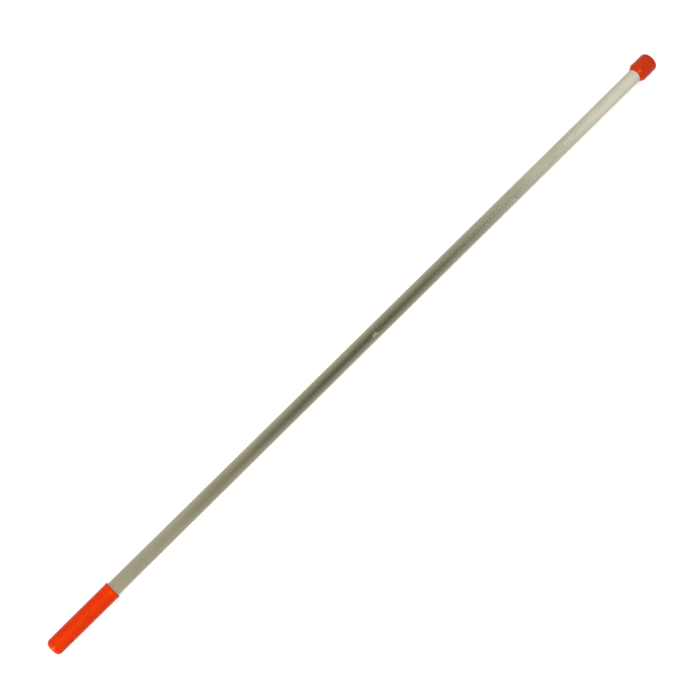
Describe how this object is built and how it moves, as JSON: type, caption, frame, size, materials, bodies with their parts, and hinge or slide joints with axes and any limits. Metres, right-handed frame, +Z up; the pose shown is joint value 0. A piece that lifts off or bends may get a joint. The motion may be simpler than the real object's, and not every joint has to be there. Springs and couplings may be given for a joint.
{
  "type": "roller extension pole",
  "caption": "Fixed paint roller extension pole: bare round tube, closed hand grip at the butt, short head with a push-in socket for a roller frame's handle.",
  "frame": {"origin": "on the pole's axis, where the socket's bore begins, just inside the head's mouth", "axes": "+X along the pole and out of the socket, +Z up, the pole lying level"},
  "size_m": [1.219, 0.03, 0.03],
  "materials": {
    "tube_metal": "bright zinc plate over drawn steel, satin",
    "grip_plastic": "moulded vinyl, orange-red, soft gloss",
    "plug_plastic": "natural moulded polyethylene",
    "head_plastic": "moulded polypropylene, orange-red, soft gloss",
    "core_plastic": "moulded black nylon",
    "pin_steel": "cut steel wire"
  },
  "bodies": {
    "root": {"pole_tube": "tube_metal", "hand_grip": "grip_plastic", "butt_plug": "plug_plastic", "socket_sleeve": "head_plastic", "socket_core": "core_plastic", "socket_pins": "pin_steel"}
  },
  "joints": []
}
